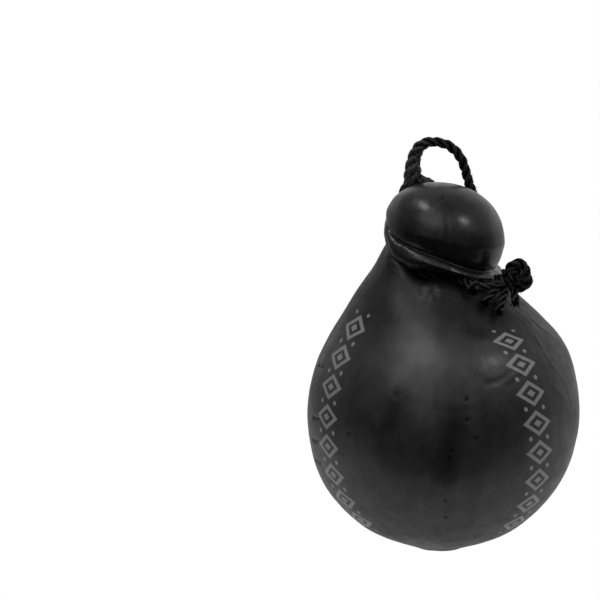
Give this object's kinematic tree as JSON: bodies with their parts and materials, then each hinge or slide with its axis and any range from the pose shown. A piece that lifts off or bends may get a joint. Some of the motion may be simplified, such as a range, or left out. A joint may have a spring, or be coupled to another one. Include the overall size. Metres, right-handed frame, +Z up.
{
  "type": "aged caciocavallo cheese",
  "caption": "Pear-shaped aged cheese with a small round head, dipped in black wax and tied at the neck with a waxed rope that is knotted at the side and rises into a loop for hanging.",
  "frame": {"origin": "on the ground under the middle of the belly", "axes": "+Z up through the head, -Y towards the side that is shown, +X to the side with the knot"},
  "size_m": [0.1554, 0.1554, 0.2343],
  "materials": {
    "black_wax": "hard black cheese wax with a soft sheen",
    "waxed_rope": "laid natural-fibre rope soaked in black wax"
  },
  "bodies": {
    "root": {"cheese": "black_wax", "rope": "waxed_rope"}
  },
  "joints": []
}
